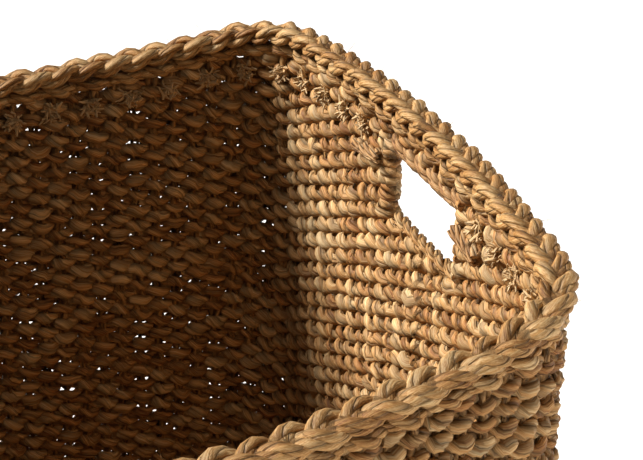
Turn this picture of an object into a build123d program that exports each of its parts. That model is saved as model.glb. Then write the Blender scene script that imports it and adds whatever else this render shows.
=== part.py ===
"""A woven laundry basket with a scooped rim and a hand hole in each raised end wall.

X runs along the basket, Y across it and Z up. The origin is under the middle of the
basket, on the surface it stands on. The weave is made of twisted leaf cord that runs
round the basket, over and under flat upright stakes, in rows one cord high. Each weave
band here is the stretch of wall that one length of cord fills before the next is spliced in.
"""
import math
import os

from build123d import *

# ---- Plan of the basket (mm) ----
BASKET_LENGTH = 540.0       # straight across the corners, before the walls bow out
BASKET_WIDTH = 436.0
SIDE_BOW = 30.0             # how far a long wall bows out at its middle
END_BOW = 20.0              # how far an end wall bows out at its middle
CORNER_RADIUS = 66.0
WALL = 14.0                 # cord, stake and cord again

# ---- Heights above the floor (mm) ----
SIDE_RIM_HEIGHT = 382.0     # weave's top edge at the middle of a long wall
END_RIM_RISE = 40.0         # the end walls' middles stand this much higher
CORNER_RIM_DROP = 6.0       # the end wall's rim falls this much towards its corners

# ---- Cords and stakes (mm) ----
CORD = 6.0                  # height of one row of weave
ROWS_IN_A_BAND = 6
STAKES = 136                # uprights round the basket
STAKE_WIDTH = 6.0
STAKE_THICKNESS = 4.0
STAKE_CLEARANCE = 0.3       # gap all round a stake in the weave
LAYER_GAP = 0.1             # gap between pieces that lie on each other

# ---- Base (mm) ----
BASE_EDGE_HEIGHT = 14.0     # rope that the walls are turned up over
BASE_THICKNESS = 11.0
BASE_LIFT = 2.0             # the base weave hangs this far above the floor
BASE_STICKS = 34
BASE_STICK_WIDTH = 7.0
BASE_STICK_THICKNESS = 4.0
STAKE_SOCKET = 6.0          # how deep a stake is pushed into the base edge

# ---- Rim (mm) ----
BRAID_OVERHANG = 5.0        # the braid stands this far out of each face of the wall
BRAID_HEIGHT = 15.0
LOCK_ROW_OVERHANG = 2.0     # so does the thicker row right under the braid
LOCK_ROW_HEIGHT = 9.0
STAKE_END_DIAMETER = 9.0    # cut stake ends tucked through to the inside
STAKE_END_LENGTH = 5.0
STAKE_END_DROP = 10.0       # below the thick row
STAKES_PER_END = 2          # every second stake shows a tucked end

# ---- Hand holes (mm) ----
HOLE_WIDTH = 96.0
HOLE_HEIGHT = 48.0
HOLE_TOP_BELOW_RIM = 25.0
HOLE_CORNER_RADIUS = 12.0
GRIP_OVERHANG = 1.0         # the roll along the top of a hole stands out of both faces
SILL_DIAMETER = 10.0        # rope along the bottom of a hole
GRIP_OVERRUN = 9.0          # each end of the grip runs this far into the weave

# ---- Values worked out from the above ----
HALF_LENGTH = BASKET_LENGTH / 2
HALF_WIDTH = BASKET_WIDTH / 2
LONG_WALL_REACH = HALF_LENGTH - CORNER_RADIUS
BAND_HEIGHT = ROWS_IN_A_BAND * CORD
END_RIM_HEIGHT = SIDE_RIM_HEIGHT + END_RIM_RISE
WEAVE_BOTTOM = BASE_EDGE_HEIGHT + LAYER_GAP
CLEAR_OF_BASKET = 100.0
REACH = HALF_LENGTH + SIDE_BOW + CLEAR_OF_BASKET
HOLE_TOP = END_RIM_HEIGHT - HOLE_TOP_BELOW_RIM
HOLE_BOTTOM = HOLE_TOP - HOLE_HEIGHT
HOLE_MIDDLE = (HOLE_TOP + HOLE_BOTTOM) / 2
GRIP_DIAMETER = WALL + 2 * GRIP_OVERHANG
GRIP_HEIGHT = HOLE_TOP + GRIP_DIAMETER / 8
GRIP_LENGTH = HOLE_WIDTH + 2 * GRIP_OVERRUN
SILL_HEIGHT = HOLE_BOTTOM - SILL_DIAMETER / 2 + CORD / 2
SILL_LENGTH = HOLE_WIDTH - 2 * HOLE_CORNER_RADIUS + 2 * CORD
ARCH_BOTTOM = GRIP_HEIGHT   # the weave over a hole is one piece from here

os.makedirs("parts", exist_ok=True)


def keep(part, name):
    """Labels a finished piece and writes it to its own file."""
    part.label = name
    export_step(part, f"parts/{name}.step")


# ---- Plan curves ----
def bow_radius(span, bow):
    """The radius of an arc that rises by bow over a straight span."""
    return (span**2 / 4 + bow**2) / (2 * bow)


def outline_grown(amount):
    """The basket's plan moved outwards, or inwards where the amount is negative: the space
    shared by four wide round plates, one for the bow of each wall, with its corners rounded."""
    side_radius = bow_radius(BASKET_LENGTH, SIDE_BOW)
    end_radius = bow_radius(BASKET_WIDTH, END_BOW)
    with BuildSketch() as plan:
        Rectangle(2 * REACH, 2 * REACH)
        for turn in (0, 180):
            with Locations(Location((0, 0, 0), (0, 0, turn))):
                with Locations((0, side_radius - HALF_WIDTH - SIDE_BOW)):
                    Circle(side_radius + amount, mode=Mode.INTERSECT)
                with Locations((end_radius - HALF_LENGTH - END_BOW, 0)):
                    Circle(end_radius + amount, mode=Mode.INTERSECT)
        fillet(plan.vertices(), radius=CORNER_RADIUS + amount)
    return plan.sketch


outline = outline_grown(0)
inner_outline = outline_grown(-WALL)
stake_line = outline_grown(-WALL / 2).wire()


def stake_places():
    """Where each stake stands on the middle of the wall, turned to lie along it."""
    places = []
    for number in range(STAKES):
        along = (number + 0.5) / STAKES
        point = stake_line.position_at(along)
        direction = stake_line.tangent_at(along)
        turn = math.degrees(math.atan2(direction.Y, direction.X))
        places.append(Location((point.X, point.Y, 0), (0, 0, turn)))
    return places


STAKE_PLACES = stake_places()

with BuildSketch() as wall_section:
    add(outline)
    add(inner_outline, mode=Mode.SUBTRACT)
    with Locations(*STAKE_PLACES):
        Rectangle(
            STAKE_WIDTH + 2 * STAKE_CLEARANCE,
            STAKE_THICKNESS + 2 * STAKE_CLEARANCE,
            mode=Mode.SUBTRACT,
        )


def under_rim(lift):
    """Everything below the scooped rim line, moved up by lift. The long walls' profile is
    one arc from end to end, and the end walls' profile falls towards their corners."""
    with BuildPart() as below:
        with BuildSketch(Plane.XZ):
            with BuildLine():
                high_left = (-HALF_LENGTH - END_BOW, END_RIM_HEIGHT + lift)
                high_right = (HALF_LENGTH + END_BOW, END_RIM_HEIGHT + lift)
                ThreePointArc(high_left, (0, SIDE_RIM_HEIGHT + lift), high_right)
                Polyline(
                    high_right,
                    (REACH, END_RIM_HEIGHT + lift),
                    (REACH, -CLEAR_OF_BASKET),
                    (-REACH, -CLEAR_OF_BASKET),
                    (-REACH, END_RIM_HEIGHT + lift),
                    high_left,
                )
            make_face()
        extrude(amount=REACH, both=True)
        with BuildSketch(Plane.YZ):
            with BuildLine():
                shoulder = END_RIM_HEIGHT - CORNER_RIM_DROP + lift
                low_front = (-HALF_WIDTH - SIDE_BOW, shoulder)
                low_back = (HALF_WIDTH + SIDE_BOW, shoulder)
                ThreePointArc(low_front, (0, END_RIM_HEIGHT + lift), low_back)
                Polyline(
                    low_back,
                    (REACH, shoulder),
                    (REACH, -CLEAR_OF_BASKET),
                    (-REACH, -CLEAR_OF_BASKET),
                    (-REACH, shoulder),
                    low_front,
                )
            make_face()
        extrude(amount=REACH, both=True, mode=Mode.INTERSECT)
    return below.part


weave_top = under_rim(-LOCK_ROW_HEIGHT - LAYER_GAP)


def hand_hole(side):
    """The space cut through one end wall for its hand hole."""
    with BuildPart() as cut:
        with BuildSketch(Plane.YZ.offset(side * HALF_LENGTH)):
            with Locations((0, HOLE_MIDDLE)):
                RectangleRounded(HOLE_WIDTH, HOLE_HEIGHT, HOLE_CORNER_RADIUS)
        extrude(amount=2 * WALL + END_BOW, both=True)
    return cut.part


def roll_space(side, diameter, height, length):
    """A straight round roll through the wall's middle, along the top or bottom of a hole."""
    middle = side * (HALF_LENGTH + END_BOW - WALL / 2)
    with BuildPart() as roll:
        with BuildSketch(Plane.XZ.offset(-length / 2)):
            with Locations((middle, height)):
                Circle(diameter / 2)
        extrude(amount=length)
    return roll.part


def opened_for_handles(growth):
    """Everything the hand holes, grips and sills take out of the weave and the stakes."""
    with BuildPart() as spaces:
        for side in (-1, 1):
            add(hand_hole(side))
            add(roll_space(side, GRIP_DIAMETER + 2 * growth, GRIP_HEIGHT, GRIP_LENGTH + 2 * growth))
            add(roll_space(side, SILL_DIAMETER + 2 * growth, SILL_HEIGHT, SILL_LENGTH + 2 * growth))
    return spaces.part


handle_spaces = opened_for_handles(LAYER_GAP)

# ---- Base ----
with BuildPart() as base_edge_rope:
    with BuildSketch():
        add(outline)
        add(inner_outline, mode=Mode.SUBTRACT)
    extrude(amount=BASE_EDGE_HEIGHT)
    with BuildSketch(Plane.XY.offset(BASE_EDGE_HEIGHT - STAKE_SOCKET)):
        with Locations(*STAKE_PLACES):
            Rectangle(STAKE_WIDTH + 2 * STAKE_CLEARANCE, STAKE_THICKNESS + 2 * STAKE_CLEARANCE)
    extrude(amount=STAKE_SOCKET, mode=Mode.SUBTRACT)
keep(base_edge_rope.part, "base_edge_rope")

base_outline = outline_grown(-WALL - LAYER_GAP)
STICK_HEIGHT = BASE_LIFT + BASE_THICKNESS / 2
STICK_PITCH = BASKET_LENGTH / (BASE_STICKS + 2)

with BuildPart() as base_weave:
    with BuildSketch(Plane.XY.offset(BASE_LIFT)):
        add(base_outline)
    extrude(amount=BASE_THICKNESS)
    with BuildSketch(Plane.XZ):
        with Locations((0, STICK_HEIGHT)):
            with GridLocations(STICK_PITCH, 0, BASE_STICKS, 1):
                Rectangle(
                    BASE_STICK_WIDTH + 2 * STAKE_CLEARANCE,
                    BASE_STICK_THICKNESS + 2 * STAKE_CLEARANCE,
                )
    extrude(amount=REACH, both=True, mode=Mode.SUBTRACT)
keep(base_weave.part, "base_weave")

with BuildPart() as base_sticks:
    with BuildSketch(Plane.XZ):
        with Locations((0, STICK_HEIGHT)):
            with GridLocations(STICK_PITCH, 0, BASE_STICKS, 1):
                Rectangle(BASE_STICK_WIDTH, BASE_STICK_THICKNESS)
    extrude(amount=REACH, both=True)
    with BuildSketch(Plane.XY):
        add(base_outline)
    extrude(amount=BASE_EDGE_HEIGHT, mode=Mode.INTERSECT)
keep(base_sticks.part, "base_sticks")


# ---- Wall bands ----
def weave_between(bottom, top):
    """The wall's weave between two levels, cut to the rim and to the hand holes."""
    with BuildPart() as ring:
        with BuildSketch(Plane.XY.offset(bottom)):
            add(wall_section.sketch)
        extrude(amount=top - LAYER_GAP - bottom)
        if top > SIDE_RIM_HEIGHT - 2 * LOCK_ROW_HEIGHT:
            add(weave_top, mode=Mode.INTERSECT)
        if top > HOLE_BOTTOM - SILL_DIAMETER:
            add(handle_spaces, mode=Mode.SUBTRACT)
    return ring.part


# The bands run all the way round, up to the one that the scoop of the rim cuts into. That
# one has fewer rows where it would reach the weave over the hand holes.
RING_BANDS = math.ceil((SIDE_RIM_HEIGHT - LOCK_ROW_HEIGHT - WEAVE_BOTTOM) / BAND_HEIGHT)
RINGS_TOP = min(WEAVE_BOTTOM + RING_BANDS * BAND_HEIGHT, ARCH_BOTTOM - CORD)
for level in range(RING_BANDS):
    band_bottom = WEAVE_BOTTOM + level * BAND_HEIGHT
    band_top = min(band_bottom + BAND_HEIGHT, RINGS_TOP)
    keep(weave_between(band_bottom, band_top), f"weave_band_{level + 1:02d}")


def pieces_where(part, test):
    """The solids of a part whose middle passes a test, as one part."""
    chosen = [solid for solid in part.solids() if test(solid.center())]
    return Part(children=chosen) if len(chosen) > 1 else Part() + chosen[0]


corner_band = weave_between(RINGS_TOP, ARCH_BOTTOM)
for end_name, end in (("left", -1), ("right", 1)):
    for face_name, face in (("front", -1), ("back", 1)):
        corner = pieces_where(corner_band, lambda c: c.X * end > 0 and c.Y * face > 0)
        keep(corner, f"{end_name}_{face_name}_corner_weave")

arch_band = weave_between(ARCH_BOTTOM, END_RIM_HEIGHT)
for end_name, end in (("left", -1), ("right", 1)):
    arch = pieces_where(arch_band, lambda c: c.X * end > 0)
    keep(arch, f"{end_name}_handle_arch_weave")

# ---- Stakes ----
stake_top = under_rim(-LAYER_GAP)


def stakes_where(test):
    """The stakes that stand on one wall, cut to the rim and round the hand holes."""
    places = [place for place in STAKE_PLACES if test(place.position)]
    with BuildPart() as stakes:
        with BuildSketch(Plane.XY.offset(BASE_EDGE_HEIGHT - STAKE_SOCKET)):
            with Locations(*places):
                Rectangle(STAKE_WIDTH, STAKE_THICKNESS)
        extrude(amount=END_RIM_HEIGHT)
        add(stake_top, mode=Mode.INTERSECT)
        add(handle_spaces, mode=Mode.SUBTRACT)
    return stakes.part


for wall_name, wall in (("front", -1), ("back", 1)):
    group = stakes_where(lambda p: abs(p.X) <= LONG_WALL_REACH and p.Y * wall > 0)
    keep(group, f"{wall_name}_wall_stakes")
for end_name, end in (("left", -1), ("right", 1)):
    group = stakes_where(lambda p: p.X * end > LONG_WALL_REACH)
    keep(group, f"{end_name}_end_stakes")


# ---- Rim ----
def rim_ring(overhang, low, high):
    """A ring that follows the scooped rim, from low to high above the weave's top edge."""
    with BuildPart() as ring:
        with BuildSketch(Plane.XY.offset(SIDE_RIM_HEIGHT + 2 * low)):
            add(outline_grown(overhang))
            add(outline_grown(-WALL - overhang), mode=Mode.SUBTRACT)
        extrude(amount=END_RIM_HEIGHT + BRAID_HEIGHT)
        add(under_rim(high), mode=Mode.INTERSECT)
        add(under_rim(low), mode=Mode.SUBTRACT)
    return ring.part


keep(rim_ring(BRAID_OVERHANG, 0, BRAID_HEIGHT), "rim_braid")

with BuildPart() as rim_lock_row:
    add(rim_ring(LOCK_ROW_OVERHANG, -LOCK_ROW_HEIGHT, -LAYER_GAP))
    with BuildSketch(Plane.XY):
        with Locations(*STAKE_PLACES):
            Rectangle(STAKE_WIDTH + 2 * STAKE_CLEARANCE, STAKE_THICKNESS + 2 * STAKE_CLEARANCE)
    extrude(amount=END_RIM_HEIGHT + BRAID_HEIGHT, mode=Mode.SUBTRACT)
keep(rim_lock_row.part, "rim_lock_row")


def arc_height(half_span, rise, offset_from_middle):
    """How far an arc with this half span and rise has left its middle point's level."""
    radius = (half_span**2 + rise**2) / (2 * rise)
    return radius - math.sqrt(radius**2 - offset_from_middle**2)


def rim_height(x, y):
    """The weave's top edge over a point of the plan."""
    scoop = arc_height(HALF_LENGTH + END_BOW, END_RIM_RISE, x)
    fall = arc_height(HALF_WIDTH + SIDE_BOW, CORNER_RIM_DROP, y)
    return min(SIDE_RIM_HEIGHT + scoop, END_RIM_HEIGHT - fall)


with BuildPart() as tucked_stake_ends:
    for place in STAKE_PLACES[::STAKES_PER_END]:
        point = place.position
        on_end_wall = abs(point.X) > LONG_WALL_REACH
        if on_end_wall and abs(point.Y) < GRIP_LENGTH / 2 + STAKE_END_DIAMETER:
            continue    # the ends above a grip are wound in under it
        heading = math.radians(place.orientation.Z)
        inward = Vector(-math.sin(heading), math.cos(heading), 0)
        start = point + inward * (WALL / 2 + STAKE_CLEARANCE)
        height = rim_height(point.X, point.Y) - LOCK_ROW_HEIGHT - STAKE_END_DROP
        face = Plane(origin=(start.X, start.Y, height), z_dir=inward)
        with BuildSketch(face):
            Circle(STAKE_END_DIAMETER / 2)
        extrude(amount=STAKE_END_LENGTH)
keep(tucked_stake_ends.part, "tucked_stake_ends")

# ---- Hand hole grips and sills ----
for end_name, end in (("left", -1), ("right", 1)):
    keep(roll_space(end, GRIP_DIAMETER, GRIP_HEIGHT, GRIP_LENGTH), f"{end_name}_handle_grip")
    keep(roll_space(end, SILL_DIAMETER, SILL_HEIGHT, SILL_LENGTH), f"{end_name}_handle_sill")
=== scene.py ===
# %% [markdown]
# # A woven laundry basket
# The basket is made of dry leaf twisted into cord. Stiff stakes stand round the base, and the
# cord runs round and round them, over one stake and under the next. The rim is a thick braid,
# and each raised end wall has a hole for a hand. This lesson builds every cord as geometry,
# because the bumps of the cords are what the eye reads first on a basket.

# %% Load the frame
import math
import random
import bpy
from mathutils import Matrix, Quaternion, Vector


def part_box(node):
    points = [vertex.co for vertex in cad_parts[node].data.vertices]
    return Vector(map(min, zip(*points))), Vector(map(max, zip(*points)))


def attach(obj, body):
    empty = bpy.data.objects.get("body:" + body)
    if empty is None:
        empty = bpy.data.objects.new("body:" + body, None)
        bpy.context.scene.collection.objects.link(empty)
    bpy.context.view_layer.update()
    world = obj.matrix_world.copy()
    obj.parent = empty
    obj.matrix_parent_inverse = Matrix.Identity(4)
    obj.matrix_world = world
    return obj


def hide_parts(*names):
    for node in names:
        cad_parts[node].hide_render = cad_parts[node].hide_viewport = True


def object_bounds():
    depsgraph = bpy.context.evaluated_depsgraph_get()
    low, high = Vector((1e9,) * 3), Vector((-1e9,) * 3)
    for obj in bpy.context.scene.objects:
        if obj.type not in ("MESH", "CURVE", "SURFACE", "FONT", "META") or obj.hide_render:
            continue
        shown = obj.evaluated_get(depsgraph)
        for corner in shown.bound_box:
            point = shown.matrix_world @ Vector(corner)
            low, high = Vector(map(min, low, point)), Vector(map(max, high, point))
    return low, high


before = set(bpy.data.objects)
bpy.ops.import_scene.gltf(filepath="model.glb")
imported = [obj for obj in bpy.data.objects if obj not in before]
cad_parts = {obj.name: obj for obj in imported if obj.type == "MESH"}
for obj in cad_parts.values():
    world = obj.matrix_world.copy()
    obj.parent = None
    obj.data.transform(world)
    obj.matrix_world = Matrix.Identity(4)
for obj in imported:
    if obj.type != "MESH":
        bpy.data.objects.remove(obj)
cad_low, cad_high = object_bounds()
print("the frame is", [round(v, 3) for v in cad_high - cad_low], "m")

# %% [markdown]
# ## Small helpers
# A few helpers keep the later cells short. One adds a node with its settings and links, the
# next ones do the same for a sum, and the last turns a colour written as in a paint chart
# into the linear numbers that Blender's shaders work with.

# %% Helpers for node trees


def add_node(tree, kind, inputs=None, **settings):
    """Adds a node, sets it up, and links or fills its inputs."""
    node = tree.nodes.new(kind)
    for name, value in settings.items():
        setattr(node, name, value)
    for socket, value in (inputs or {}).items():
        if isinstance(value, bpy.types.NodeSocket):
            tree.links.new(value, node.inputs[socket])
        else:
            node.inputs[socket].default_value = value
    return node


def math_of(tree, operation, *values):
    """The result of one sum on one, two or three values."""
    inputs = dict(enumerate(values))
    return add_node(tree, "ShaderNodeMath", inputs, operation=operation).outputs[0]


def times(tree, value, factor):
    """A number times another."""
    return math_of(tree, "MULTIPLY", value, factor)


def times_plus(tree, value, factor, extra):
    """A number times another, with a third added to it."""
    return math_of(tree, "MULTIPLY_ADD", value, factor, extra)


def vector_of(tree, operation, *values):
    """The vector result of one sum on vectors."""
    inputs = dict(enumerate(values))
    return add_node(tree, "ShaderNodeVectorMath", inputs, operation=operation).outputs[0]


def scaled(tree, vector, factor):
    """A vector times a number."""
    node = add_node(tree, "ShaderNodeVectorMath", {0: vector, "Scale": factor}, operation="SCALE")
    return node.outputs[0]


def paint(code):
    """An sRGB colour code as linear red, green, blue and full alpha."""
    channels = [int(code[i:i + 2], 16) / 255 for i in (1, 3, 5)]
    linear = [c / 12.92 if c <= 0.04045 else ((c + 0.055) / 1.055) ** 2.4 for c in channels]
    return (*linear, 1.0)


# %% [markdown]
# ## The basket's plan and rim
# In plan the basket is a rectangle whose walls bow out a little and whose corners are round.
# That is eight arcs joined end to end, so a point on the wall is found by walking along the
# arcs. The rim is low in the middle of the long walls and high on the end walls.

# %% Sizes read from the frame
FLOOR = cad_low.z
REACH_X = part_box("weave_band_01")[1].x   # outer face at the middle of an end wall
REACH_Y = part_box("weave_band_01")[1].y   # outer face at the middle of a long wall
SIDE_BOW = 0.030
END_BOW = 0.020
CORNER_RADIUS = 0.066
WALL = 0.014
HALF_LENGTH = REACH_X - END_BOW
HALF_WIDTH = REACH_Y - SIDE_BOW
BASE_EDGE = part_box("base_edge_rope")[1].z
BRAID_HEIGHT = 0.015
LOCK_ROW = 0.009
END_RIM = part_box("rim_braid")[1].z - BRAID_HEIGHT
SIDE_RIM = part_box("rim_braid")[0].z
CORNER_DROP = 0.006
STAKES = 136
ROW = 0.006
HOLE_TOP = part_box("right_handle_grip")[0].z
HOLE_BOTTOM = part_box("right_handle_sill")[1].z
print("rim from", round(SIDE_RIM, 3), "to", round(END_RIM, 3), "hole", HOLE_BOTTOM, HOLE_TOP)

# %% Walk round the plan


def arc_rise(half_span, rise, offset):
    """How far an arc has left the level of its middle, at an offset from that middle."""
    radius = (half_span**2 + rise**2) / (2 * rise)
    return radius - math.sqrt(radius**2 - min(abs(offset), half_span) ** 2)


def rim_height(x, y):
    """The top of the weave over a point of the plan."""
    scoop = SIDE_RIM + arc_rise(REACH_X, END_RIM - SIDE_RIM, x)
    fall = END_RIM - arc_rise(REACH_Y, CORNER_DROP, y)
    return min(scoop, fall)


def corner_centre():
    """Where the arc of the back right corner is centred: as far inside the bow of the long
    wall as inside the bow of the end wall. Found by closing in on it."""
    x, y = HALF_LENGTH - CORNER_RADIUS, HALF_WIDTH - CORNER_RADIUS
    for _ in range(60):
        x += END_RADIUS - CORNER_RADIUS - math.hypot(x - END_MIDDLE, y)
        y += SIDE_RADIUS - CORNER_RADIUS - math.hypot(x, y - SIDE_MIDDLE)
    return x, y


SIDE_RADIUS = (HALF_LENGTH**2 + SIDE_BOW**2) / (2 * SIDE_BOW)
END_RADIUS = (HALF_WIDTH**2 + END_BOW**2) / (2 * END_BOW)
SIDE_MIDDLE = REACH_Y - SIDE_RADIUS
END_MIDDLE = REACH_X - END_RADIUS
CORNER_X, CORNER_Y = corner_centre()
END_TURN = math.atan2(CORNER_Y, CORNER_X - END_MIDDLE)
SIDE_TURN = math.atan2(CORNER_Y - SIDE_MIDDLE, CORNER_X)

# Each arc is its centre, its radius on the outer face, and its first and last direction.
QUARTER = [
    (END_MIDDLE, 0.0, END_RADIUS, 0.0, END_TURN),
    (CORNER_X, CORNER_Y, CORNER_RADIUS, END_TURN, SIDE_TURN),
    (0.0, SIDE_MIDDLE, SIDE_RADIUS, SIDE_TURN, math.pi / 2),
]


def quarter_point(distance, inset):
    """A point of the back right quarter, and the way out of the wall there."""
    for x, y, radius, start, end in QUARTER:
        length = (end - start) * (radius - inset)
        if distance <= length or end == math.pi / 2:
            turn = start + distance / (radius - inset)
            out = Vector((math.cos(turn), math.sin(turn), 0))
            return Vector((x, y, 0)) + out * (radius - inset), out
        distance -= length


def quarter_length(inset):
    """The length of a quarter of the wall, so far in from its outer face."""
    return sum((end - start) * (radius - inset) for _, _, radius, start, end in QUARTER)


QUARTER_LENGTH = quarter_length(WALL / 2)
AROUND = 4 * QUARTER_LENGTH
STAKE_PITCH = AROUND / STAKES


def wall_point(distance, inset=WALL / 2):
    """A point of the wall and the way out of it, at a distance round from the middle of
    the right end wall, measured on the middle of the wall."""
    quarter, part = divmod((distance % AROUND) / QUARTER_LENGTH, 1.0)
    mirrored = quarter in (1, 3)
    part = 1 - part if mirrored else part
    point, out = quarter_point(part * quarter_length(inset), inset)
    if quarter in (1, 2):
        point.x, out.x = -point.x, -out.x
    if quarter in (2, 3):
        point.y, out.y = -point.y, -out.y
    return point, out


print("round the wall", round(AROUND, 3), "m, stakes every", round(STAKE_PITCH * 1000, 2), "mm")

# %% [markdown]
# ## Leaf materials
# Every strand is the same dry leaf, so one function mixes all the finishes. The fibres run
# along a strand and turn with its twist, and each mesh carries that as a vector called
# "fibre": two numbers across the strand and one along it. Noise that is stretched along it
# gives the creases, and the number called "tone" makes one lobe paler than the next. Painted
# shade darkens the grooves round each strand, and painted shade with a little dust darkens
# a strand where it lies against the next one.

# %% The leaf material
GROOVES = 3.0                   # lengthwise grooves round one strand
SLOW_GRAIN = (90.0, 90.0, 22.0)         # how fast the leaf changes across it and along it
FINE_GRAIN = (1500.0, 1500.0, 70.0)
PATCH_RATE = 16.0               # patches of paler and browner cord to a metre
RELIEF = 0.0014                 # depth of the grooves


def mesh_value(tree, name, output="Fac"):
    """A number, or a vector, that the mesh carries under a name."""
    return add_node(tree, "ShaderNodeAttribute", attribute_name=name).outputs[output]


def noise_of(tree, place, scale, detail):
    """Smooth noise about a half."""
    inputs = {"Vector": place, "Scale": scale, "Detail": detail}
    return add_node(tree, "ShaderNodeTexNoise", inputs).outputs["Fac"]


def leaf_material(name, pale, straw, brown, crease, bump=1.0):
    """Dry twisted leaf: pale, straw and brown lengths, with painted shade in the dark lengthwise
    creases.
    """
    material = bpy.data.materials.new(name)
    material.use_nodes = True
    tree = material.node_tree
    shader = tree.nodes["Principled BSDF"]
    fibre = mesh_value(tree, "fibre", "Vector")
    tone = mesh_value(tree, "tone")
    place = add_node(tree, "ShaderNodeTexCoord").outputs["Object"]

    # Slow changes of colour along each strand, and fine fibres across it.
    slow = noise_of(tree, vector_of(tree, "MULTIPLY", fibre, SLOW_GRAIN), 1.0, 2.0)
    fine = noise_of(tree, vector_of(tree, "MULTIPLY", fibre, FINE_GRAIN), 1.0, 3.0)
    patches = noise_of(tree, place, PATCH_RATE, 3.0)

    mixed = times(tree, tone, 0.24)
    mixed = times_plus(tree, slow, 0.45, mixed)
    mixed = times_plus(tree, patches, 0.20, mixed)
    mixed = times_plus(tree, fine, 1.00, mixed)
    mixed = math_of(tree, "SUBTRACT", mixed, 0.44)
    ramp = add_node(tree, "ShaderNodeValToRGB", {"Fac": mixed})
    stops = ramp.color_ramp.elements
    stops[0].position, stops[0].color = 0.12, paint(crease)
    stops[1].position, stops[1].color = 0.80, paint(pale)
    middle = stops.new(0.30)
    middle.color = paint(brown)
    upper = stops.new(0.52)
    upper.color = paint(straw)

    # The strand is wound from leaf strips, so grooves run round it with the twist.
    split = add_node(tree, "ShaderNodeSeparateXYZ", {0: fibre})
    angle = math_of(tree, "ARCTAN2", split.outputs["Y"], split.outputs["X"])
    wobble = times_plus(tree, slow, 5.0, times(tree, angle, GROOVES))
    groove = math_of(tree, "ABSOLUTE", math_of(tree, "SINE", times(tree, wobble, 0.5)))
    groove = math_of(tree, "POWER", groove, 0.45)
    height = times_plus(tree, fine, 0.55, groove)
    relief = add_node(
        tree,
        "ShaderNodeBump",
        {"Height": height, "Strength": 0.95 * bump, "Distance": RELIEF},
    )
    # Painted shade: the colour is darker down the grooves, where the bump sinks.
    shade = times_plus(tree, groove, 0.55, 0.50)
    shade = math_of(tree, "MINIMUM", shade, 1.0)
    # Painted shade, with a little dust, darkens a strand where it lies against the next one.
    edge = math_of(tree, "ABSOLUTE", mesh_value(tree, "ring_y"))
    dust_and_painted_shade = times_plus(tree, math_of(tree, "POWER", edge, 3.0), -0.5, 1.0)
    shade = times(tree, shade, dust_and_painted_shade)
    darker = scaled(tree, ramp.outputs["Color"], shade)
    tree.links.new(darker, shader.inputs["Base Color"])
    rough = times_plus(tree, fine, 0.25, 0.48)
    tree.links.new(rough, shader.inputs["Roughness"])
    tree.links.new(relief.outputs["Normal"], shader.inputs["Normal"])
    shader.inputs["Specular IOR Level"].default_value = 0.35
    return material


LEAF_CORD = leaf_material("twisted_leaf_cord", "#EBCB98", "#CD9B5E", "#A86B33", "#5E3314")
LEAF_BRAID = leaf_material("braided_leaf", "#E2BF8A", "#BF8F54", "#9A6630", "#583110")
# The stake leaf is darker than the cord: partly its own browner colour, partly painted shade that
# makes the slits between the cords look dark.
LEAF_STAKE = leaf_material("stake_leaf", "#C79C66", "#A97B45", "#7F5528", "#4A2C12")
CUT_LEAF = leaf_material("cut_leaf_ends", "#FBE8C6", "#EBC894", "#C99A62", "#98693A", 0.4)
WOUND_LEAF = leaf_material("wound_leaf", "#E0BD8C", "#BE8E58", "#94643A", "#55331A")
print("materials:", [m.name for m in bpy.data.materials if m.use_nodes])

# %% [markdown]
# ## Guides for the cords
# Geometry Nodes does the weaving, and it needs a guide to follow: a bare chain of points for
# each row. Every point carries what the tree needs to know there: which way is out of the
# wall, and a "step" that grows by one from each stake to the next. Rows are one apart in
# step too, so a cord is outside where the one above it is inside.

# %% Make a guide


def make_guide(name, chains):
    """A mesh of point chains. Each chain is (points, closed), and each point is
    (place, way out, step, row number)."""
    places, edges, outs, steps, rows = [], [], [], [], []
    for points, closed in chains:
        first = len(places)
        for place, out, step, row in points:
            places.append(place)
            outs.extend(out)
            steps.append(step)
            rows.append(row)
        last = len(places)
        edges.extend((i, i + 1) for i in range(first, last - 1))
        if closed:
            edges.append((last - 1, first))
    mesh = bpy.data.meshes.new(name)
    mesh.from_pydata(places, edges, [])
    mesh.attributes.new("out", "FLOAT_VECTOR", "POINT").data.foreach_set("vector", outs)
    mesh.attributes.new("step", "FLOAT", "POINT").data.foreach_set("value", steps)
    mesh.attributes.new("row", "FLOAT", "POINT").data.foreach_set("value", rows)
    guide = bpy.data.objects.new(name, mesh)
    bpy.context.scene.collection.objects.link(guide)
    return guide


def run_tree(guide, tree, name, sizes):
    """Runs a node tree on a guide with named sizes, and leaves a plain mesh."""
    modifier = guide.modifiers.new("weave", "NODES")
    modifier.node_group = tree
    for item in tree.interface.items_tree:
        if item.item_type == "SOCKET" and item.in_out == "INPUT" and item.name in sizes:
            modifier[item.identifier] = sizes[item.name]
    graph = bpy.context.evaluated_depsgraph_get()
    ready = guide.evaluated_get(graph)
    mesh = bpy.data.meshes.new_from_object(ready, preserve_all_data_layers=True, depsgraph=graph)
    guide.modifiers.remove(modifier)
    bpy.data.objects.remove(guide)
    piece = bpy.data.objects.new(name, mesh)
    bpy.context.scene.collection.objects.link(piece)
    return piece


def keep_piece(piece, slot, *nodes):
    """Puts a finished piece in the frame, in place of the solids it stands for."""
    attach(piece, "root")
    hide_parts(*nodes)
    triangles = sum(len(p.vertices) - 2 for p in piece.data.polygons)
    print(piece.name, "has", triangles, "triangles")


# %% [markdown]
# ## The over and under tree
# The tree turns each chain of a guide into one woven cord. It swings the chain out and in
# past the stakes by a cosine of the step, tips each lobe a little, and sweeps an oval along
# it. The oval turns as it runs, because the cord is two plies twisted together, and noise of
# two sizes makes the cord uneven and crumpled. It is fat where it crosses a stake and
# squeezed where two cords cross. The angle round the oval and the length along the cord
# become the "fibre" vector that the leaf material reads.

# %% Build the over and under tree


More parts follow.
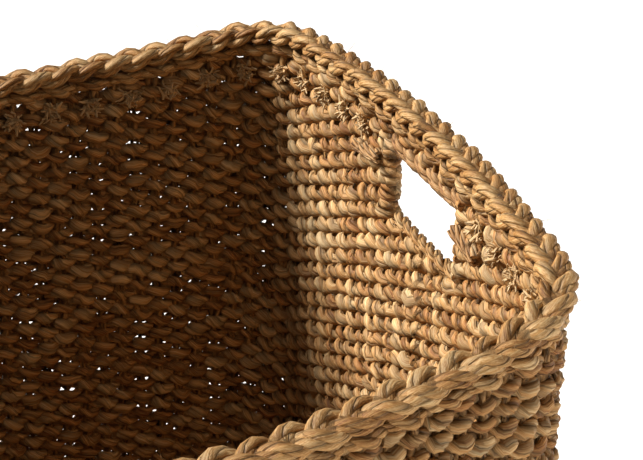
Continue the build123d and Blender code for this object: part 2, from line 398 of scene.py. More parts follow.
def new_tree(name, sockets):
    """An empty geometry tree with one input per named size, and what its inputs give."""
    tree = bpy.data.node_groups.new(name, "GeometryNodeTree")
    tree.interface.new_socket("Geometry", in_out="INPUT", socket_type="NodeSocketGeometry")
    for socket, kind, value in sockets:
        made = tree.interface.new_socket(socket, in_out="INPUT", socket_type=f"NodeSocket{kind}")
        if value is not None:
            made.default_value = value
    tree.interface.new_socket("Geometry", in_out="OUTPUT", socket_type="NodeSocketGeometry")
    return tree, add_node(tree, "NodeGroupInput").outputs


def named(tree, name, kind="FLOAT"):
    """Reads one of the guide's own values."""
    inputs = {"Name": name}
    return add_node(tree, "GeometryNodeInputNamedAttribute", inputs, data_type=kind).outputs[0]


def stored(tree, geometry, name, value, kind="FLOAT"):
    """Writes a value on every point under a name."""
    node = add_node(
        tree,
        "GeometryNodeStoreNamedAttribute",
        {"Geometry": geometry, "Name": name, "Value": value},
        data_type=kind,
        domain="POINT",
    )
    return node.outputs[0]


def copied(tree, geometry, amount, domain):
    """Copies of each curve or point, and the number of each copy."""
    inputs = {"Geometry": geometry, "Amount": amount}
    node = add_node(tree, "GeometryNodeDuplicateElements", inputs, domain=domain)
    return node.outputs[0], node.outputs[1]


def shifted(tree, geometry, offset):
    """Moves every point by its own offset."""
    inputs = {"Geometry": geometry, "Offset": offset}
    return add_node(tree, "GeometryNodeSetPosition", inputs).outputs[0]


def wobble_of(tree, position, rate, seed):
    """A smooth random vector about zero that changes with place."""
    noise = add_node(
        tree,
        "ShaderNodeTexNoise",
        {"Vector": position, "W": seed, "Scale": rate, "Detail": 1.0},
        noise_dimensions="4D",
    )
    return vector_of(tree, "SUBTRACT", noise.outputs["Color"], (0.5, 0.5, 0.5))


def swept(tree, curve, across, up, sides, scale, twist):
    """Sweeps an oval along curves, and stores the fibre vector on the result."""
    ring = add_node(tree, "GeometryNodeCurvePrimitiveCircle", {"Resolution": sides, "Radius": 1.0})
    turn = math_of(tree, "ARCTAN2", *split_xy(tree))
    ring = stored(tree, ring.outputs[0], "ring_x", math_of(tree, "COSINE", turn))
    ring = stored(tree, ring, "ring_y", math_of(tree, "SINE", turn))
    size = add_node(tree, "ShaderNodeCombineXYZ", {0: across, 1: up, 2: 1.0}).outputs[0]
    oval = add_node(tree, "GeometryNodeTransform", {"Geometry": ring, "Scale": size}).outputs[0]
    along = add_node(tree, "GeometryNodeSplineParameter").outputs["Length"]
    curve = stored(tree, curve, "along", along)
    tube = add_node(
        tree,
        "GeometryNodeCurveToMesh",
        {"Curve": curve, "Profile Curve": oval, "Scale": scale, "Fill Caps": True},
    ).outputs[0]
    # The fibres turn round the strand as they run along it.
    length = named(tree, "along")
    lean = times(tree, length, twist)
    cosine, sine = math_of(tree, "COSINE", lean), math_of(tree, "SINE", lean)
    x, y = named(tree, "ring_x"), named(tree, "ring_y")
    turned_x = math_of(tree, "SUBTRACT", times(tree, x, cosine), times(tree, y, sine))
    turned_y = math_of(tree, "ADD", times(tree, x, sine), times(tree, y, cosine))
    middle = times(tree, math_of(tree, "ADD", across, up), 0.5)
    fibre = add_node(
        tree,
        "ShaderNodeCombineXYZ",
        {
            0: times(tree, turned_x, middle),
            1: times(tree, turned_y, middle),
            2: math_of(tree, "ADD", length, times(tree, named(tree, "tone"), 3.0)),
        },
    ).outputs[0]
    return stored(tree, tube, "fibre", fibre, "FLOAT_VECTOR")


def split_xy(tree):
    """The y and the x of each point's place."""
    place = add_node(tree, "GeometryNodeInputPosition").outputs[0]
    split = add_node(tree, "ShaderNodeSeparateXYZ", {0: place})
    return split.outputs["Y"], split.outputs["X"]


def finish_tree(tree, geometry, material):
    """Smooths, realizes and paints what the tree made, and sends it out."""
    smooth = add_node(tree, "GeometryNodeSetShadeSmooth", {"Geometry": geometry}).outputs[0]
    real = add_node(tree, "GeometryNodeRealizeInstances", {"Geometry": smooth}).outputs[0]
    painted = add_node(tree, "GeometryNodeSetMaterial", {"Geometry": real, "Material": material})
    add_node(tree, "NodeGroupOutput", {0: painted.outputs[0]})


def over_under_tree():
    """The tree that turns each chain of points into one woven cord."""
    tree, given = new_tree(
        "over and under",
        [
            ("Swing", "Float", 0.0035),
            ("Tip", "Float", 0.0008),
            ("Across", "Float", 0.0044),
            ("Up", "Float", 0.0038),
            ("Squeeze", "Float", 0.12),
            ("Unevenness", "Float", 0.0042),
            ("Crumple", "Float", 0.0028),
            ("Twist", "Float", 190.0),
            ("Sides", "Int", 10),
            ("Seed", "Int", 1),
            ("Material", "Material", None),
        ],
    )
    chain = add_node(tree, "GeometryNodeMeshToCurve", {"Mesh": given["Geometry"]}).outputs[0]
    place = add_node(tree, "GeometryNodeInputPosition").outputs[0]
    step, row = named(tree, "step"), named(tree, "row")
    out = named(tree, "out", "FLOAT_VECTOR")

    # Every lobe has its own random tone and fatness, by its number.
    lobe = math_of(tree, "FLOOR", math_of(tree, "ADD", step, 0.5))
    number = times_plus(tree, row, 997.0, lobe)
    draw = add_node(tree, "FunctionNodeRandomValue", {"ID": number, "Seed": given["Seed"]})
    tone = draw.outputs[1]
    chain = stored(tree, chain, "tone", tone)

    wave = math_of(tree, "COSINE", times(tree, step, math.pi))
    double = times(tree, step, 2 * math.pi)
    # A cosine that is flattened at its peaks hugs the stake.
    flat = times(tree, wave, 1.25)
    flat = math_of(tree, "MAXIMUM", math_of(tree, "MINIMUM", flat, 1.0), -1.0)
    swing = times(tree, math_of(tree, "ADD", flat, wave), times(tree, given["Swing"], 0.5))
    tip = times(tree, math_of(tree, "SINE", double), given["Tip"])
    upward = add_node(tree, "ShaderNodeCombineXYZ", {2: 1.0}).outputs[0]
    shift = vector_of(tree, "ADD", scaled(tree, out, swing), scaled(tree, upward, tip))
    uneven = scaled(tree, wobble_of(tree, place, 70.0, given["Seed"]), given["Unevenness"])
    crumple = scaled(tree, wobble_of(tree, place, 240.0, given["Seed"]), given["Crumple"])
    shift = vector_of(tree, "ADD", vector_of(tree, "ADD", shift, uneven), crumple)
    chain = shifted(tree, chain, shift)
    chain = add_node(tree, "GeometryNodeSetCurveNormal", {"Curve": chain}, mode="Z_UP").outputs[0]
    # Two plies twisted together: an oval that turns as it runs, a bit unevenly.
    along = add_node(tree, "GeometryNodeSplineParameter").outputs["Length"]
    drift = add_node(tree, "ShaderNodeSeparateXYZ", {0: wobble_of(tree, place, 45.0, 3)})
    start = times_plus(tree, row, 2.4, times(tree, drift.outputs["X"], 9.0))
    tilt = times_plus(tree, along, given["Twist"], start)
    chain = add_node(tree, "GeometryNodeSetCurveTilt", {"Curve": chain, "Tilt": tilt}).outputs[0]

    fat = times_plus(tree, math_of(tree, "COSINE", double), 0.5, 0.5)
    thin = math_of(tree, "SUBTRACT", 1.0, given["Squeeze"])
    scale = times_plus(tree, fat, given["Squeeze"], thin)
    vary = times_plus(tree, named(tree, "tone"), 0.34, 0.84)
    scale = times(tree, scale, vary)
    tube = swept(tree, chain, given["Across"], given["Up"], given["Sides"], scale, 0.0)
    finish_tree(tree, tube, given["Material"])
    return tree


OVER_UNDER = over_under_tree()
print("the over and under tree has", len(OVER_UNDER.nodes), "nodes")

# %% [markdown]
# ## The rows of the wall
# The rows lie level, one cord apart, from the base edge up to the rim. Where the rim dips, a
# row ends under the thick row below the braid. Beside a hand hole it turns round the last
# stake instead: its step runs on by one, which carries the cord from one face to the other,
# while its place goes out and comes back.

# %% Lay out the rows
SAMPLES = 6                     # points from one stake to the next
TURN_STAKE = 4                  # the last stake beside a hand hole, counted from its middle
TURN_REACH = 0.40               # how far past that stake a cord turns, in stakes
WEAVE_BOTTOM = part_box("weave_band_01")[0].z
ROWS_IN_A_BAND = 6
HALF_WAY = STAKES // 2


def from_end_middle(step):
    """Steps from the middle of the nearest end wall, with a sign."""
    return (step + HALF_WAY / 2) % HALF_WAY - HALF_WAY / 2


def place_in_row(step, height):
    """Where a row runs at a step, or None where it has ended."""
    off_middle = from_end_middle(step)
    part = abs(off_middle)
    beside_hole = HOLE_BOTTOM - ROW < height < HOLE_TOP + 2 * ROW
    if beside_hole and part < TURN_STAKE:
        if part < TURN_STAKE - 1:
            return None
        turned = TURN_STAKE - TURN_REACH * math.sin(math.pi * (TURN_STAKE - part))
        step += math.copysign(turned - part, off_middle)
    place, out = wall_point(step * STAKE_PITCH)
    if height > rim_height(place.x, place.y) - LOCK_ROW:
        return None
    place.z = height
    return place, out


def chains_of_row(row, wanted=lambda place: True):
    """The chains of one row, cut where the row is interrupted."""
    height = WEAVE_BOTTOM + (row + 0.5) * ROW
    around = []
    for number in range(STAKES * SAMPLES):
        step = number / SAMPLES
        found = place_in_row(step, height)
        if found and wanted(found[0]):
            around.append((found[0], found[1], step + row, float(row)))
        else:
            around.append(None)
    if None not in around:
        return [(around, True)]
    gap = around.index(None)
    around = around[gap:] + around[:gap]
    chains, current = [], []
    for point in around + [None]:
        if point is None:
            if len(current) > 2:
                chains.append((current, False))
            current = []
        else:
            if current and point[2] < current[-1][2]:
                point = (point[0], point[1], point[2] + STAKES, point[3])
            current.append(point)
    return chains


def rows_between(low, high):
    """Numbers of the rows whose middles lie between two heights."""
    first = math.ceil((low - WEAVE_BOTTOM) / ROW - 0.5)
    last = math.floor((high - WEAVE_BOTTOM) / ROW - 0.5)
    return range(first, last + 1)


# %% Weave the bands
CORD_SIZES = {"Material": LEAF_CORD}
weave_nodes = sorted(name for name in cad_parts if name.startswith("weave_band"))
for level, node in enumerate(weave_nodes):
    low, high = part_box(node)
    rows = range(level * ROWS_IN_A_BAND, (level + 1) * ROWS_IN_A_BAND)
    chains = [chain for row in rows for chain in chains_of_row(row)]
    guide = make_guide("band guide", chains)
    band = run_tree(guide, OVER_UNDER, node + "_cords", {**CORD_SIZES, "Seed": level})
    keep_piece(band, "leaf_cord", node)
RINGS_TOP = len(weave_nodes) * ROWS_IN_A_BAND

# %% Weave the corners and the arches over the hand holes
ARCH_FIRST = rows_between(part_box("left_handle_arch_weave")[0].z, 1.0)[0]
TOP_ROW = rows_between(0, END_RIM)[-1]
for end_name, end in (("left", -1), ("right", 1)):
    for face_name, face in (("front", -1), ("back", 1)):
        node = f"{end_name}_{face_name}_corner_weave"
        chains = []
        for row in range(RINGS_TOP, ARCH_FIRST):
            chains += chains_of_row(row, lambda p: p.x * end > 0 and p.y * face > 0)
        guide = make_guide("corner guide", chains)
        corner = run_tree(guide, OVER_UNDER, node + "_cords", CORD_SIZES)
        keep_piece(corner, "leaf_cord", node)
    node = f"{end_name}_handle_arch_weave"
    chains = []
    for row in range(ARCH_FIRST, TOP_ROW + 1):
        chains += chains_of_row(row, lambda p: p.x * end > 0)
    guide = make_guide("arch guide", chains)
    arch = run_tree(guide, OVER_UNDER, node + "_cords", CORD_SIZES)
    keep_piece(arch, "leaf_cord", node)

# %% [markdown]
# ## The plait tree
# A rope and a flat braid follow the same rule. Each strand swings to one side and back by a
# sine, and rises and falls by another. In a rope it rises once for each swing. In a flat
# braid it rises twice, so that it goes over one neighbour and under the other. Each strand is
# itself a few leaf plies that circle its middle line.

# %% Build the plait tree


def plait_tree():
    """The tree that turns each chain of points into a rope or a flat braid."""
    tree, given = new_tree(
        "plait",
        [
            ("Strands", "Int", 3),
            ("Swing", "Float", 0.007),
            ("Lift", "Float", 0.0025),
            ("Lift Rate", "Float", 2.0),
            ("Lift Lead", "Float", 0.0),
            ("Plies", "Int", 3),
            ("Ply Reach", "Float", 0.0022),
            ("Ply Turns", "Float", 1.0),
            ("Across", "Float", 0.0026),
            ("Up", "Float", 0.0020),
            ("Unevenness", "Float", 0.0034),
            ("Twist", "Float", 150.0),
            ("Sides", "Int", 10),
            ("Seed", "Int", 1),
            ("Material", "Material", None),
        ],
    )
    chain = add_node(tree, "GeometryNodeMeshToCurve", {"Mesh": given["Geometry"]}).outputs[0]
    chain, copy = copied(tree, chain, given["Strands"], "SPLINE")
    chain = stored(tree, chain, "strand", math_of(tree, "DIVIDE", copy, given["Strands"]))
    step, strand = named(tree, "step"), named(tree, "strand")
    out = named(tree, "out", "FLOAT_VECTOR")
    phase = times(tree, math_of(tree, "ADD", step, strand), 2 * math.pi)
    swing = times(tree, math_of(tree, "SINE", phase), given["Swing"])
    rise = math_of(tree, "SINE", times_plus(tree, phase, given["Lift Rate"], given["Lift Lead"]))
    lift = times(tree, rise, given["Lift"])
    upward = add_node(tree, "ShaderNodeCombineXYZ", {2: lift}).outputs[0]
    shift = vector_of(tree, "ADD", scaled(tree, out, swing), upward)
    place = add_node(tree, "GeometryNodeInputPosition").outputs[0]
    apart = vector_of(tree, "ADD", place, scaled(tree, out, times(tree, strand, 0.3)))
    uneven = scaled(tree, wobble_of(tree, apart, 55.0, given["Seed"]), given["Unevenness"])
    shift = vector_of(tree, "ADD", shift, uneven)
    chain = shifted(tree, chain, shift)
    chain = add_node(tree, "GeometryNodeSetCurveNormal", {"Curve": chain}, mode="Z_UP").outputs[0]

    # Plies circle the strand's middle line.
    chain, copy = copied(tree, chain, given["Plies"], "SPLINE")
    chain = stored(tree, chain, "ply", math_of(tree, "DIVIDE", copy, given["Plies"]))
    ply = named(tree, "ply")
    turn = times_plus(tree, named(tree, "step"), given["Ply Turns"], ply)
    turn = times(tree, math_of(tree, "ADD", turn, named(tree, "strand")), 2 * math.pi)
    normal = add_node(tree, "GeometryNodeInputNormal").outputs[0]
    tangent = add_node(tree, "GeometryNodeInputTangent").outputs[0]
    side = vector_of(tree, "CROSS_PRODUCT", tangent, normal)
    reach = given["Ply Reach"]
    one_way = scaled(tree, normal, times(tree, math_of(tree, "COSINE", turn), reach))
    other_way = scaled(tree, side, times(tree, math_of(tree, "SINE", turn), reach))
    chain = shifted(tree, chain, vector_of(tree, "ADD", one_way, other_way))

    # A ply changes tone about twice in each turn of the plait.
    piece = math_of(tree, "FLOOR", times(tree, math_of(tree, "ADD", step, strand), 2.0))
    number = math_of(tree, "ADD", times(tree, strand, 3.0), ply)
    number = times_plus(tree, number, 30.0, times(tree, piece, 101.0))
    draw = add_node(tree, "FunctionNodeRandomValue", {"ID": number, "Seed": given["Seed"]})
    chain = stored(tree, chain, "tone", draw.outputs[1])
    vary = times_plus(tree, named(tree, "tone"), 0.36, 0.82)
    tube = swept(tree, chain, given["Across"], given["Up"], given["Sides"], vary, given["Twist"])
    finish_tree(tree, tube, given["Material"])
    return tree


PLAIT = plait_tree()
print("the plait tree has", len(PLAIT.nodes), "nodes")

# %% [markdown]
# ## The rim and the base edge
# The braid lies on the top of the wall, and a thick pair of cords is twisted round the
# stakes right under it. Both follow the rim's line. A thinner rope of three strands runs
# round the bottom, where the stakes turn up out of the base.

# %% Ropes that run all the way round

POINTS_PER_TURN = 14            # of a guide, for each whole turn of its rope


def round_guide(name, pitch, height_at):
    """A closed chain round the wall that fits a whole number of plait turns."""
    turns = round(AROUND / pitch)
    count = turns * POINTS_PER_TURN
    points = []
    for number in range(count):
        place, out = wall_point(number / count * AROUND)
        place.z = height_at(place)
        points.append((place, out, number / POINTS_PER_TURN, 0.0))
    return make_guide(name, [(points, True)])


# A rope of two or three strands that twist round each other lifts once for each swing.
ROPE = {"Lift Rate": 1.0, "Lift Lead": math.pi / 2, "Plies": 2, "Ply Turns": 1.0}

BRAID_TURN = 0.056              # length of one whole turn of the braid, and of each rope
LOCK_TURN = 0.046
EDGE_TURN = 0.040
BRAID_SINK = 0.001              # how far the braid beds down on the rim

BRAID = {
    "Plies": 2, "Ply Reach": 0.0019, "Ply Turns": 1.0,
    "Across": 0.0036, "Up": 0.0029, "Material": LEAF_BRAID,
}
BRAID_MIDDLE = BRAID_HEIGHT / 2 - BRAID_SINK
braid_guide = round_guide("braid guide", BRAID_TURN, lambda p: rim_height(p.x, p.y) + BRAID_MIDDLE)
braid = run_tree(braid_guide, PLAIT, "rim_braid_strands", BRAID)
keep_piece(braid, "leaf_braid", "rim_braid")

LOCK = {
    **ROPE, "Strands": 2, "Swing": 0.0052, "Lift": 0.0014, "Ply Reach": 0.0017, "Ply Turns": 2.0,
    "Across": 0.0028, "Up": 0.0030, "Material": LEAF_BRAID,
}
lock_guide = round_guide("lock row guide", LOCK_TURN, lambda p: rim_height(p.x, p.y) - LOCK_ROW / 2)
lock_row = run_tree(lock_guide, PLAIT, "rim_lock_cords", LOCK)
keep_piece(lock_row, "leaf_cord", "rim_lock_row")

EDGE = {
    **ROPE, "Strands": 3, "Swing": 0.0034, "Lift": 0.0033, "Ply Reach": 0.0012,
    "Across": 0.0022, "Up": 0.0022, "Material": LEAF_CORD,
}
edge_guide = round_guide("edge guide", EDGE_TURN, lambda p: BASE_EDGE / 2)
edge = run_tree(edge_guide, PLAIT, "base_edge_strands", EDGE)
keep_piece(edge, "leaf_braid", "base_edge_rope")

# %% [markdown]
# ## The hand holes
# A thick rope closes the top of each hole, because that is what the fingers pull on. A
# thinner one finishes the bottom edge. Both are straight, and their ends run into the weave.
# The grip's spare strands are laid along the inside of the wall as a short bundle, which
# keeps the rope from pulling out.

# %% Grips and sills


def straight_guide(name, node, pitch):
    """A straight chain along Y through the middle of a node's box."""
    low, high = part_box(node)
    turns = (high.y - low.y) / pitch
    count = round(turns * POINTS_PER_TURN)
    points = []
    for number in range(count + 1):
        part = number / count
        place = (low + high) / 2
        place.y = low.y + (high.y - low.y) * part
        points.append((place, Vector((1, 0, 0)), part * turns, 0.0))
    return make_guide(name, [(points, False)])


GRIP_TURN = 0.034
SILL_TURN = 0.024
GRIP = {
    **ROPE, "Strands": 2, "Swing": 0.0038, "Lift": 0.0038, "Ply Reach": 0.0019,
    "Across": 0.0032, "Up": 0.0030, "Unevenness": 0.0016, "Material": WOUND_LEAF,
}
SILL = {
    **ROPE, "Strands": 2, "Swing": 0.0024, "Lift": 0.0024, "Ply Reach": 0.0011,
    "Across": 0.0019, "Up": 0.0019, "Material": LEAF_BRAID,
}
for end_name in ("left", "right"):
    node = f"{end_name}_handle_grip"
    guide = straight_guide("grip guide", node, GRIP_TURN)
    grip = run_tree(guide, PLAIT, node + "_strands", GRIP)
    keep_piece(grip, "grip_wrap", node)
    node = f"{end_name}_handle_sill"
    guide = straight_guide("sill guide", node, SILL_TURN)
    sill = run_tree(guide, PLAIT, node + "_strands", SILL)
    keep_piece(sill, "leaf_braid", node)

# %% Lay the grips' tails along the wall
GRIP_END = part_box("right_handle_grip")[1].y
TAIL_START = GRIP_END - 0.002
TAIL_LENGTH = 0.034
TAIL_DROP = 0.005               # how far below the top of the hole a tail starts
TAIL_FALL = 0.004               # and how much lower it ends
TAIL_POINTS = 15
TAIL_TURNS = 0.7
TAIL = {
    "Strands": 1, "Swing": 0.0, "Lift": 0.0, "Plies": 6, "Ply Reach": 0.0034, "Ply Turns": 1.0,
    "Across": 0.0019, "Up": 0.0013, "Unevenness": 0.0016, "Material": WOUND_LEAF,
}
tail_chains = []
for middle in (0.0, AROUND / 2):
    for side in (-1, 1):
        points = []
        for number in range(TAIL_POINTS):
            part = number / (TAIL_POINTS - 1)
            reach = TAIL_START + TAIL_LENGTH * part
            place, out = wall_point(middle + side * reach, WALL + 0.0005)
            place.z = HOLE_TOP - TAIL_DROP - TAIL_FALL * part
            points.append((place, out, part * TAIL_TURNS, 0.0))
        tail_chains.append((points, False))
tails = run_tree(make_guide("tail guide", tail_chains), PLAIT, "handle_grip_tails", TAIL)
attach(tails, "root")
print("grip tails:", len(tail_chains))

# %% [markdown]
# ## The stakes
# The stakes stand inside the weave, so little of them shows. Each is three stiff bundles of
# leaf with a slow twist, upright from the base edge to the rim, and cut away where a hand
# hole is.

# %% Stand the stakes up
STAKE_TURN = 0.05               # height over which the bundles twist once
STAKE_SPACING = 0.012           # between two points of a stake's guide
GAP_BELOW_HOLE = 0.006          # a cut stake stops this far below the bottom of the hole
GAP_ABOVE_HOLE = 0.014          # and starts again this far above the top of it
STAKE = {
    "Strands": 1, "Swing": 0.0, "Lift": 0.0, "Plies": 3, "Ply Reach": 0.0027, "Ply Turns": 1.0,
    "Across": 0.0024, "Up": 0.0024, "Unevenness": 0.0006, "Sides": 7, "Material": LEAF_STAKE,
}


def stake_chain(place, out, low, high):
    """One upright chain from low to high."""
    count = max(2, round((high - low) / STAKE_SPACING))
    points = []
    for number in range(count + 1):
        height = low + (high - low) * number / count
        points.append((Vector((place.x, place.y, height)), out, height / STAKE_TURN, 0.0))
    return points, False


def stakes_on(wanted):
    """The chains of all stakes whose place passes a test."""
    chains = []
    for number in range(STAKES):
        place, out = wall_point(number * STAKE_PITCH)
        if not wanted(place):
            continue
        top = rim_height(place.x, place.y) - 0.001
        if abs(from_end_middle(number)) < TURN_STAKE:
            chains.append(stake_chain(place, out, BASE_EDGE / 2, HOLE_BOTTOM - GAP_BELOW_HOLE))
            chains.append(stake_chain(place, out, HOLE_TOP + GAP_ABOVE_HOLE, top))
        else:
            chains.append(stake_chain(place, out, BASE_EDGE / 2, top))
    return chains


LONG_WALL = HALF_LENGTH - CORNER_RADIUS
STAKE_GROUPS = {
    "front_wall_stakes": lambda p: abs(p.x) <= LONG_WALL and p.y < 0,
    "back_wall_stakes": lambda p: abs(p.x) <= LONG_WALL and p.y > 0,
    "left_end_stakes": lambda p: p.x < -LONG_WALL,
    "right_end_stakes": lambda p: p.x > LONG_WALL,
}
for node, wanted in STAKE_GROUPS.items():
    stakes = run_tree(make_guide("stake guide", stakes_on(wanted)), PLAIT, node + "_bundles", STAKE)
    keep_piece(stakes, "stake", node)

# %% [markdown]
# ## The base
# The base is woven like the walls, but flat: stiff sticks lie across it, and rows of cord
# run along it over and under them. The same tree makes it when the guide says that the way
# out is down.

# %% Weave the base
BASE_LOW, BASE_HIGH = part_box("base_weave")
BASE_MIDDLE = (BASE_LOW.z + BASE_HIGH.z) / 2
STICK_LOW, STICK_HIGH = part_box("base_sticks")
STICKS = 34
STICK_WIDTH = 0.007
STICK_POINTS = 25
STICK_PITCH = (STICK_HIGH.x - STICK_LOW.x - STICK_WIDTH) / (STICKS - 1)
BASE_ROW = 0.0078               # between two rows of cord in the base
BASE_INSET = WALL + 0.002


def half_length_at(y):
    """How far the base reaches along X at a place across it."""
    y = abs(y)
    end_radius = END_RADIUS - BASE_INSET
    if y <= CORNER_Y + (CORNER_RADIUS - BASE_INSET) * math.sin(END_TURN):
        return END_MIDDLE + math.sqrt(end_radius**2 - y**2)
    corner = CORNER_RADIUS - BASE_INSET
    return CORNER_X + math.sqrt(max(corner**2 - (y - CORNER_Y) ** 2, 0.0))


def half_width_at(x):
    """How far the base reaches along Y at a place along it."""
    x = abs(x)
    if x <= CORNER_X + (CORNER_RADIUS - BASE_INSET) * math.cos(SIDE_TURN):
        return SIDE_MIDDLE + math.sqrt((SIDE_RADIUS - BASE_INSET) ** 2 - x**2)
    corner = CORNER_RADIUS - BASE_INSET
    return CORNER_Y + math.sqrt(max(corner**2 - (x - CORNER_X) ** 2, 0.0))


base_chains = []
base_rows = int(2 * half_width_at(0) / BASE_ROW)
for row in range(base_rows):
    y = (row - (base_rows - 1) / 2) * BASE_ROW
    half = half_length_at(min(abs(y), half_width_at(0) - 0.004))
    if abs(y) > half_width_at(CORNER_X):
        half = min(half, CORNER_X)
    count = int(2 * half / STICK_PITCH * SAMPLES)
    points = []
    for number in range(count + 1):
        x = -half + 2 * half * number / count
        step = x / STICK_PITCH + 0.5 + row
        points.append((Vector((x, y, BASE_MIDDLE)), Vector((0, 0, -1)), step, float(row)))
    base_chains.append((points, False))
BASE_CORDS = {
    "Swing": 0.0030, "Tip": 0.0, "Across": 0.0041, "Up": 0.0024, "Squeeze": 0.2,
    "Unevenness": 0.001, "Sides": 8, "Seed": 40, "Material": LEAF_CORD,
}
base = run_tree(make_guide("base guide", base_chains), OVER_UNDER, "base_weave_cords", BASE_CORDS)
keep_piece(base, "leaf_cord", "base_weave")

stick_chains = []
for number in range(STICKS):
    x = (number - (STICKS - 1) / 2) * STICK_PITCH
    half = half_width_at(x) - 0.002
    points = []
    for part in range(STICK_POINTS):
        y = -half + 2 * half * part / (STICK_POINTS - 1)
        place = Vector((x, y, BASE_MIDDLE))
        points.append((place, Vector((1, 0, 0)), y / STAKE_TURN, float(number)))
    stick_chains.append((points, False))
STICK = {**STAKE, "Ply Reach": 0.0013}
sticks = run_tree(make_guide("stick guide", stick_chains), PLAIT, "base_stick_bundles", STICK)
keep_piece(sticks, "stake", "base_sticks")

# %% [markdown]
# ## Cut ends and loose fibres
# Under the rim each second stake is pulled through to the inside and cut, which leaves a
# frayed tuft. Dry leaf also sheds fibres that curl off the cords. Both are many short curved
# strips on a scatter of points, so one tree makes them.

# %% Build the strip tree


def scatter_guide(name, points):
    """A guide of single points."""
    return make_guide(name, [([point], False) for point in points])


def strip_tree():
    """The tree that turns each point into a tuft of short curved strips."""
    tree, given = new_tree(
        "strips",
        [
            ("Strips", "Int", 12),
            ("Spread", "Float", 0.004),
            ("Length", "Float", 0.006),
            ("Curl", "Float", 0.5),
            ("Lean", "Float", 0.6),
            ("Half Width", "Float", 0.0009),
            ("Half Thickness", "Float", 0.0004),
            ("Seed", "Int", 1),
            ("Material", "Material", None),
        ],
    )
    points = add_node(tree, "GeometryNodeMeshToPoints", {"Mesh": given["Geometry"]}).outputs[0]
    copies, _ = copied(tree, points, given["Strips"], "POINT")
    number = add_node(tree, "GeometryNodeInputIndex").outputs[0]

    def drawn(low, high, seed):
        seed_value = math_of(tree, "ADD", given["Seed"], seed)
        node = add_node(
            tree,
            "FunctionNodeRandomValue",
            {"Min": low, "Max": high, "ID": number, "Seed": seed_value},
            data_type="FLOAT_VECTOR",
        )
        return node.outputs[0]

    away = scaled(tree, drawn((-1, -1, -1), (1, 1, 1), 1), given["Spread"])
    out = named(tree, "out", "FLOAT_VECTOR")
    # The scatter is a flat disc across the way out.
    through = add_node(tree, "ShaderNodeVectorMath", {0: away, 1: out}, operation="DOT_PRODUCT")
    flat = vector_of(tree, "SUBTRACT", away, scaled(tree, out, through.outputs["Value"]))
    moved = shifted(tree, copies, flat)
    lean = scaled(tree, drawn((-1, -1, -1), (1, 1, 1), 2), given["Lean"])
    heading = vector_of(tree, "ADD", out, lean)
    aim = add_node(tree, "FunctionNodeAlignRotationToVector", {"Vector": heading}, axis="Z")
    roll = add_node(tree, "FunctionNodeEulerToRotation", {0: drawn((0, 0, 0), (0, 0, 6.28), 3)})
    spin = add_node(
        tree,
        "FunctionNodeRotateRotation",
        {0: aim.outputs[0], 1: roll.outputs[0]},
        rotation_space="LOCAL",
    ).outputs[0]
    size = drawn((0.6, 0.6, 0.5), (1.2, 1.2, 1.3), 4)

    # One strip: a short bent line with an oval swept along it.
    length = given["Length"]
    bend = times(tree, length, given["Curl"])
    half_way = add_node(tree, "ShaderNodeCombineXYZ", {2: times(tree, length, 0.6)}).outputs[0]
    tip = add_node(tree, "ShaderNodeCombineXYZ", {0: bend, 2: length}).outputs[0]
    line = add_node(
        tree,
        "GeometryNodeCurveQuadraticBezier",
        {"Resolution": 4, "Start": (0.0, 0.0, 0.0), "Middle": half_way, "End": tip},
    ).outputs[0]
    line = stored(tree, line, "tone", 0.5)
    along = add_node(tree, "GeometryNodeSplineParameter").outputs["Factor"]
    taper = times_plus(tree, along, -0.6, 1.0)
    strip = swept(tree, line, given["Half Width"], given["Half Thickness"], 4, taper, 0.0)
    placed = add_node(
        tree,
        "GeometryNodeInstanceOnPoints",
        {"Points": moved, "Instance": strip, "Rotation": spin, "Scale": size},
    ).outputs[0]
    finish_tree(tree, placed, given["Material"])
    return tree


STRIPS = strip_tree()
print("the strip tree has", len(STRIPS.nodes), "nodes")

# %% Tuck the cut ends in
END_DROP = LOCK_ROW + 0.010     # how far below the rim line the cut ends come out
CLEAR_OF_GRIP = 0.009
tuft_points = []
for number in range(0, STAKES, 2):
    place, out = wall_point(number * STAKE_PITCH, WALL - 0.002)
    if abs(place.x) > LONG_WALL and abs(place.y) < GRIP_END + CLEAR_OF_GRIP:
        continue                # the ends above a grip are wound in under it
    place.z = rim_height(place.x, place.y) - END_DROP
    tuft_points.append((place, -out, 0.0, 0.0))
TUFT = {
    "Strips": 40, "Spread": 0.0046, "Length": 0.0042, "Curl": 1.3, "Lean": 0.9,
    "Half Width": 0.0017, "Half Thickness": 0.0007, "Material": CUT_LEAF,
}
tufts = run_tree(scatter_guide("cut end guide", tuft_points), STRIPS, "tucked_cut_ends", TUFT)
keep_piece(tufts, "cut_end", "tucked_stake_ends")

# %% Let some fibres hang loose
FIBRES = 1500
HOLE_REACH = 0.055              # half the width of a hand hole, with room beside it
HOLE_MARGIN = 0.010             # and the room above and below it
fibres = random.Random(7)
fibre_points = []
for _ in range(FIBRES):
    inward = fibres.random() < 0.6
    place, out = wall_point(fibres.random() * AROUND, WALL - 0.001 if inward else 0.001)
    top = rim_height(place.x, place.y)
    if fibres.random() < 0.35:
        place.z = top + fibres.uniform(-0.008, 0.010)
    else:
        place.z = fibres.uniform(0.02, top)
    beside = abs(place.x) > LONG_WALL and abs(place.y) < HOLE_REACH
    if beside and HOLE_BOTTOM - HOLE_MARGIN < place.z < HOLE_TOP + HOLE_MARGIN:
        continue
    way = -out if inward else out
    tilt = Vector((fibres.gauss(0, 0.6), fibres.gauss(0, 0.6), fibres.gauss(0, 0.5)))
    fibre_points.append((place, (way * 0.25 + tilt).normalized(), 0.0, 0.0))
LOOSE = {
    "Strips": 1, "Spread": 0.0, "Length": 0.012, "Curl": 0.7, "Lean": 0.3,
    "Half Width": 0.00022, "Half Thickness": 0.00012, "Seed": 5, "Material": LEAF_BRAID,
}
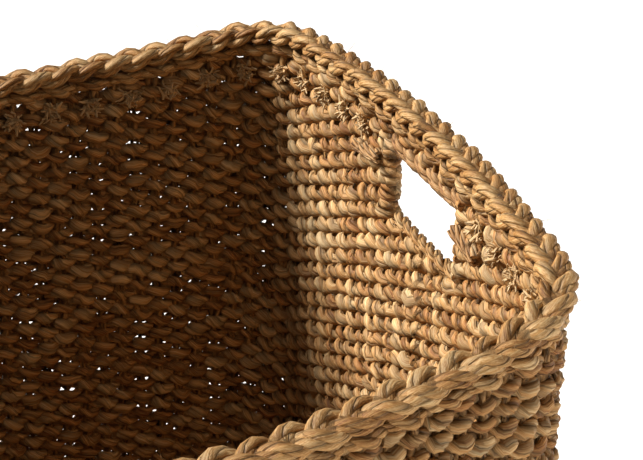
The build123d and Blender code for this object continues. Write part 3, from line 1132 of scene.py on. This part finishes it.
loose = run_tree(scatter_guide("loose fibre guide", fibre_points), STRIPS, "loose_fibres", LOOSE)
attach(loose, "root")
print("loose fibres:", len(fibre_points))

# %% [markdown]
# ## Floor, light and camera
# The basket stands on a plain pale floor that fades into a pale backdrop. Broad soft daylight
# comes from behind on the left. It reaches over the back and left walls and falls on the
# inside of the right end, and leaves the inside of the long back wall in shade. A small warm
# fill on the right lifts the outside of the near wall.

# %% Floor and world
floor_mesh = bpy.data.meshes.new("floor")
side = 40.0
corners = [(-side, -side, 0), (side, -side, 0), (side, side, 0), (-side, side, 0)]
floor_mesh.from_pydata(corners, [], [(0, 1, 2, 3)])
floor = bpy.data.objects.new("floor", floor_mesh)
bpy.context.scene.collection.objects.link(floor)
floor_paint = bpy.data.materials.new("pale_floor")
floor_paint.use_nodes = True
floor_shader = floor_paint.node_tree.nodes["Principled BSDF"]
floor_shader.inputs["Base Color"].default_value = paint("#F7F6F4")
floor_shader.inputs["Roughness"].default_value = 0.9
floor_mesh.materials.append(floor_paint)
floor.location.z = FLOOR - 0.0005

world = bpy.data.worlds.new("studio")
world.use_nodes = True
sky = world.node_tree.nodes["Background"]
sky.inputs["Color"].default_value = (1.0, 0.95, 0.88, 1.0)
sky.inputs["Strength"].default_value = 0.16
bpy.context.scene.world = world

# %% Lights


def aimed(name, lamp, place, aim):
    """Hangs a lamp at a place and turns it to face a point."""
    holder = bpy.data.objects.new(name, lamp)
    holder.location = place
    holder.rotation_mode = "QUATERNION"
    holder.rotation_quaternion = (Vector(aim) - Vector(place)).to_track_quat("-Z", "Y")
    bpy.context.scene.collection.objects.link(holder)


key = bpy.data.lights.new("key light", "SUN")
key.energy = 6.9
key.angle = math.radians(24.0)
key.color = (1.0, 0.985, 0.96)
aimed("key light", key, (-1.0, 0.62, 1.0), (0.0, 0.0, 0.0))

fill = bpy.data.lights.new("fill light", "AREA")
fill.size = 1.2
fill.energy = 8.0
fill.color = (1.0, 0.91, 0.80)
aimed("fill light", fill, (1.6, -1.1, 0.55), (0.27, -0.22, 0.3))

# %% Camera
YAW, PITCH, ROLL = 0.4456, 0.4486, 0.0377
LENS_SPREAD = 2.836             # focal length over frame width
camera_data = bpy.data.cameras.new("camera")
camera = bpy.data.objects.new("camera", camera_data)
bpy.context.scene.collection.objects.link(camera)
bpy.context.scene.camera = camera
LEVEL_PART = math.cos(PITCH)
forward = Vector((math.sin(YAW) * LEVEL_PART, math.cos(YAW) * LEVEL_PART, -math.sin(PITCH)))
camera.rotation_mode = "QUATERNION"
turn = forward.to_track_quat("-Z", "Y")
camera.rotation_quaternion = turn @ Quaternion((0, 0, 1), ROLL)
camera.location = (-0.1654, -0.899, 0.8686)
camera_data.sensor_width = 36.0
camera_data.lens = LENS_SPREAD * camera_data.sensor_width
camera_data.shift_x = -0.124
camera_data.shift_y = -0.062
camera_data.clip_start = 0.01
bpy.context.scene.view_settings.view_transform = "Standard"
